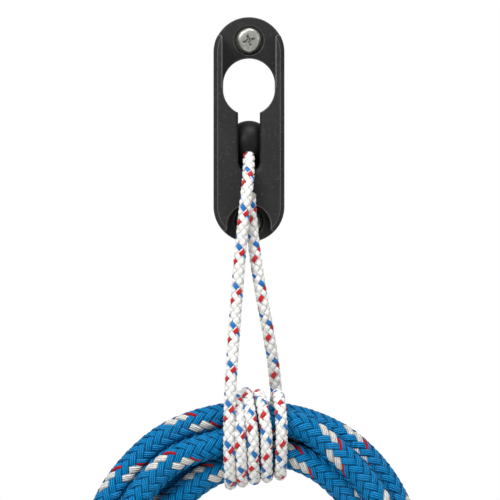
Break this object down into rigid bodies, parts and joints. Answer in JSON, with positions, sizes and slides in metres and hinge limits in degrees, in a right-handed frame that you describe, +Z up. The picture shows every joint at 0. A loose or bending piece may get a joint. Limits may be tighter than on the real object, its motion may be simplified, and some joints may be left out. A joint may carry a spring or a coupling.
{
  "type": "line hanger with coiled rope",
  "caption": "Wall bracket with a keyhole slot that holds a ball-ended braided lanyard, which is lashed round a hanging coil of blue braided rope.",
  "frame": {"origin": "on the wall plane, midway between the two mounting screws", "axes": "+X to the viewer's right, +Y into the wall, +Z up; the front faces -Y"},
  "size_m": [0.1362, 0.0595, 0.3503],
  "materials": {
    "bracket_plastic": "fine moulded grain",
    "ball_plastic": "smooth moulded",
    "screw_steel": "stainless, pan head",
    "ferrule_metal": "crimped",
    "lanyard_braid": "white braid with a red and a blue carrier",
    "line_braid": "blue braid with white and red tracers",
    "thread": "waxed whipping twine"
  },
  "bodies": {
    "bracket": {"bracket": "bracket_plastic", "upper_screw": "screw_steel", "lower_screw": "screw_steel"},
    "keeper": {"keeper_ball": "ball_plastic", "crimp_ferrule": "ferrule_metal", "lanyard_stub": "lanyard_braid"},
    "lanyard": {"lanyard_front_leg": "lanyard_braid", "lanyard_back_leg": "lanyard_braid", "lanyard_wraps": "lanyard_braid", "sewing_thread": "thread"},
    "coil": {"line_coil": "line_braid", "line_tail_left": "line_braid", "line_tail_right": "line_braid", "whipping_left": "thread", "whipping_right": "thread"}
  },
  "joints": [
    {"name": "keeper_slide", "type": "slide", "parent": "bracket", "child": "keeper", "axis": [0, 0, 1], "range_m": [0, 0.0218]},
    {"name": "lanyard_swing", "type": "hinge", "parent": "keeper", "child": "lanyard", "pos_m": [-0.00033, -0.02539, -0.0188], "axis": [0, 1, 0], "range_deg": [-20, 20]},
    {"name": "coil_rock", "type": "hinge", "parent": "lanyard", "child": "coil", "pos_m": [0.0012, -0.025, -0.1184], "axis": [-1, 0, 0], "range_deg": [-3, 12]}
  ]
}
